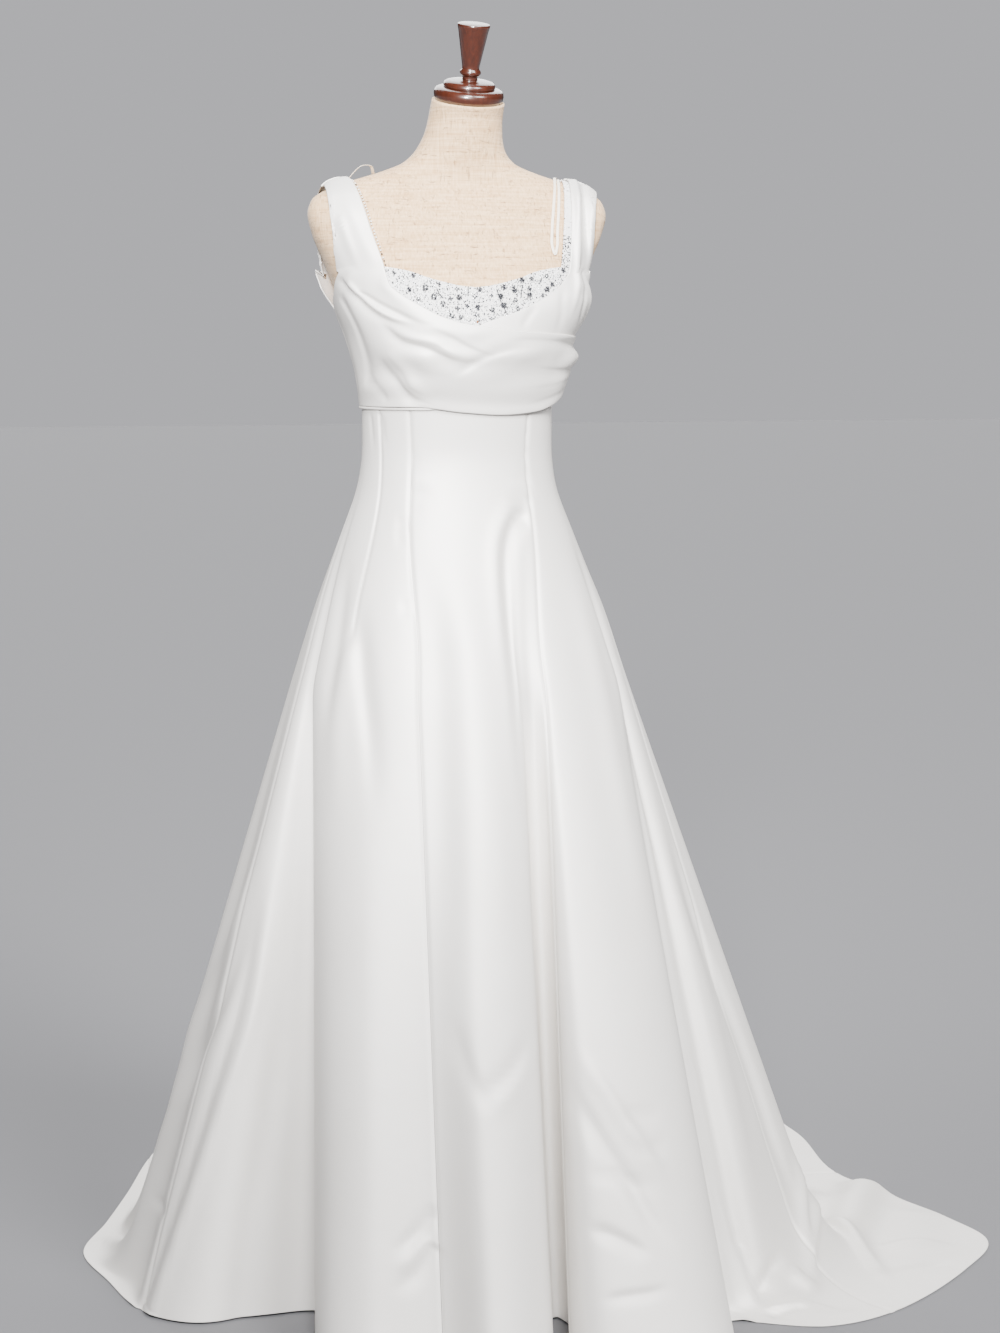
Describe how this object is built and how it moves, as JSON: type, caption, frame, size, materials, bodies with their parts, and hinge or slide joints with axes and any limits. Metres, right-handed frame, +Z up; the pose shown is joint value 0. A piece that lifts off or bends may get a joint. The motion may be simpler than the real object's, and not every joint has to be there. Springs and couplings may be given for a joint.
{
  "type": "a-line wedding dress on a dress form",
  "caption": "Floor-length A-line wedding dress in heavy ivory satin with a crossed draped bodice, beaded neckline and short train, worn by a limbless linen dress form on a round stand.",
  "frame": {"origin": "middle of the underside of the stand's round base, on the floor", "axes": "+Z up; the dress faces -Y and its train lies towards +Y; the wearer's left is +X"},
  "size_m": [1.2219, 1.275, 1.6338],
  "materials": {
    "satin": "heavy ivory duchess satin with a soft sheen",
    "beading": "white net sewn all over with small clear and silver-grey beads",
    "ribbon": "narrow ivory satin ribbon",
    "linen": "natural slubbed linen cover, matt",
    "mahogany": "turned wood, dark red-brown gloss lacquer",
    "steel": "plated steel tube"
  },
  "bodies": {
    "root": {"gore_centre_front": "satin", "gore_side_front_right": "satin", "gore_side_front_left": "satin", "gore_side_back_right": "satin", "gore_side_back_left": "satin", "gore_back_right": "satin", "gore_back_left": "satin", "drape_over_right": "satin", "drape_under_left": "satin", "back_bodice_right": "satin", "back_bodice_left": "satin", "empire_piping": "satin", "beaded_bodice": "beading", "beaded_strap_right": "beading", "beaded_strap_left": "beading", "hanger_loop_right": "ribbon", "hanger_loop_left": "ribbon", "form_torso": "linen", "neck_cap_disc": "mahogany", "neck_cap_step": "mahogany", "neck_handle": "mahogany", "stand_pole": "steel", "stand_base": "mahogany"}
  },
  "joints": []
}
